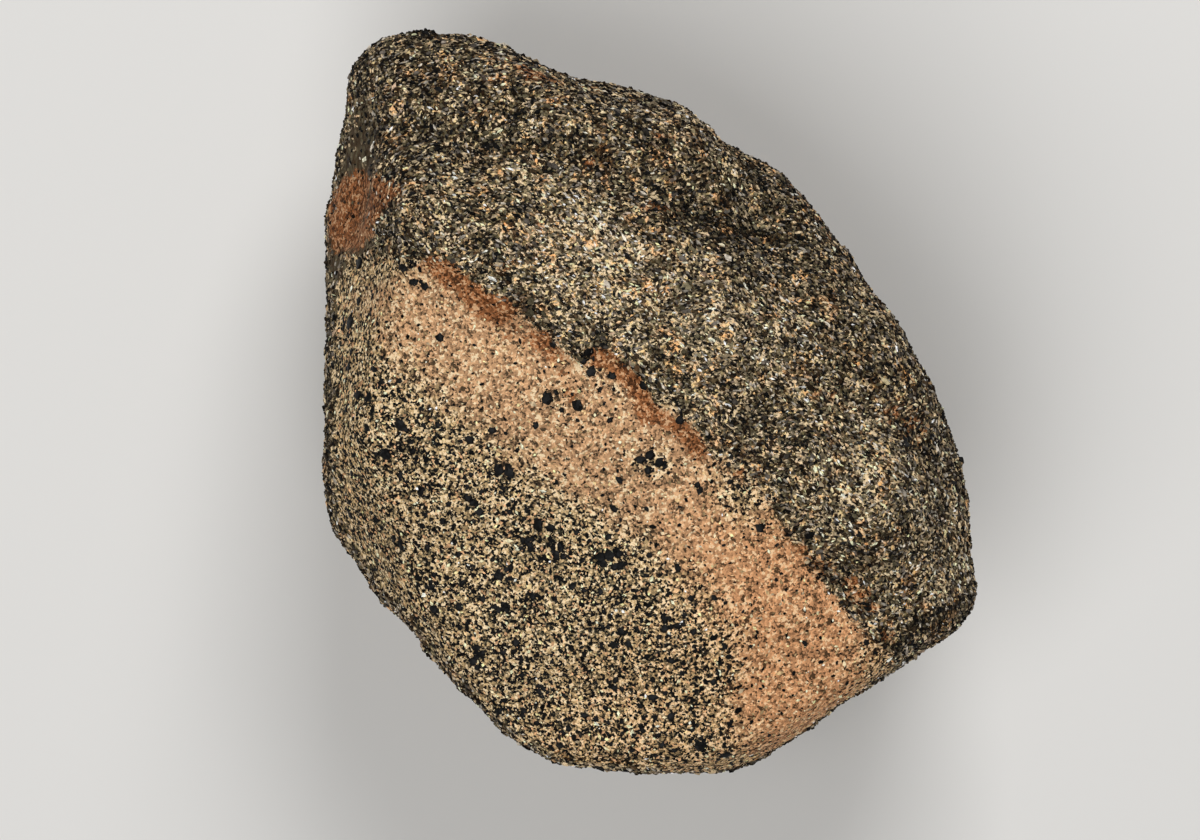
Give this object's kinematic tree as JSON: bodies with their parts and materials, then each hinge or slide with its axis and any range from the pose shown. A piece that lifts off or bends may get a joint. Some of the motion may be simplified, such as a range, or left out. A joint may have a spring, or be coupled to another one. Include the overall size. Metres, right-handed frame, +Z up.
{
  "type": "martian meteorite",
  "caption": "Whole martian meteorite: a blunt wedge-shaped stone with a dark weathered crust, one broken tan face and a small flat spot that it rests on.",
  "frame": {"origin": "on the ground, under the middle of the stone's plan", "axes": "+Z up, out of the face that the picture shows; +Y along the long way to the narrow end; +X to the right of someone who looks down on it"},
  "size_m": [0.1962, 0.2228, 0.1484],
  "materials": {
    "stone": "matt, coarse speckled rock: dark brown crust with pale and rusty grains, and one tan face with black crystals"
  },
  "bodies": {
    "root": {"meteorite": "stone"}
  },
  "joints": []
}
